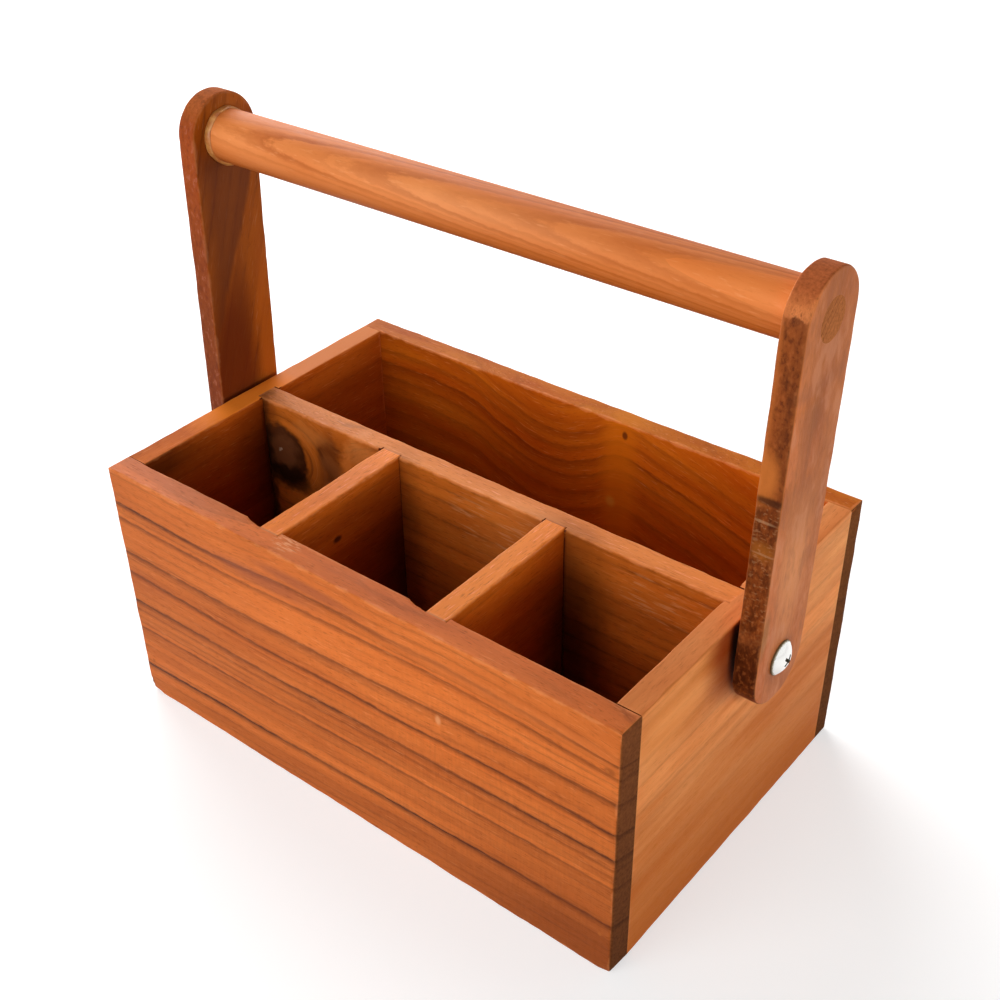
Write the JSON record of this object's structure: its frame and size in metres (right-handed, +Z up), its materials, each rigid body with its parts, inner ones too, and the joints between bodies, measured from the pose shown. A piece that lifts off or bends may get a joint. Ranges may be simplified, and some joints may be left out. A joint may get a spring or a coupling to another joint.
{
  "type": "cutlery caddy",
  "caption": "Open plank box of solid teak, split by housed dividers into upright compartments for knives and cutlery, with a dowel carry handle whose arms swing on domed pivot screws.",
  "frame": {"origin": "on the table, under the middle of the box", "axes": "+X along the length to the right end seen from the front, +Y to the back, +Z up"},
  "size_m": [0.2798, 0.162, 0.2472],
  "materials": {
    "front_panel_teak": "planed and oiled",
    "back_panel_teak": "planed and oiled",
    "left_end_teak": "planed and oiled",
    "right_end_teak": "planed and oiled",
    "bottom_teak": "planed and oiled",
    "long_divider_teak": "planed and oiled",
    "left_cross_teak": "planed and oiled",
    "right_cross_teak": "planed and oiled",
    "brad_steel": "dull",
    "screw_nickel": "bright nickel plate",
    "washer_steel": "zinc plate",
    "left_arm_teak": "planed and oiled",
    "right_arm_teak": "planed and oiled",
    "dowel_teak": "turned and oiled"
  },
  "bodies": {
    "box": {"front_panel": "front_panel_teak", "back_panel": "back_panel_teak", "left_end_panel": "left_end_teak", "right_end_panel": "right_end_teak", "bottom_board": "bottom_teak", "long_divider": "long_divider_teak", "left_cross_divider": "left_cross_teak", "right_cross_divider": "right_cross_teak", "panel_brads": "brad_steel", "left_pivot_screw": "screw_nickel", "right_pivot_screw": "screw_nickel", "left_washer": "washer_steel", "right_washer": "washer_steel"},
    "handle": {"left_arm": "left_arm_teak", "right_arm": "right_arm_teak", "handle_dowel": "dowel_teak"}
  },
  "joints": [
    {"name": "handle_swing", "type": "hinge", "parent": "box", "child": "handle", "pos_m": [0, 0, 0.1015], "axis": [1, 0, 0], "range_deg": [-126, 130]}
  ]
}
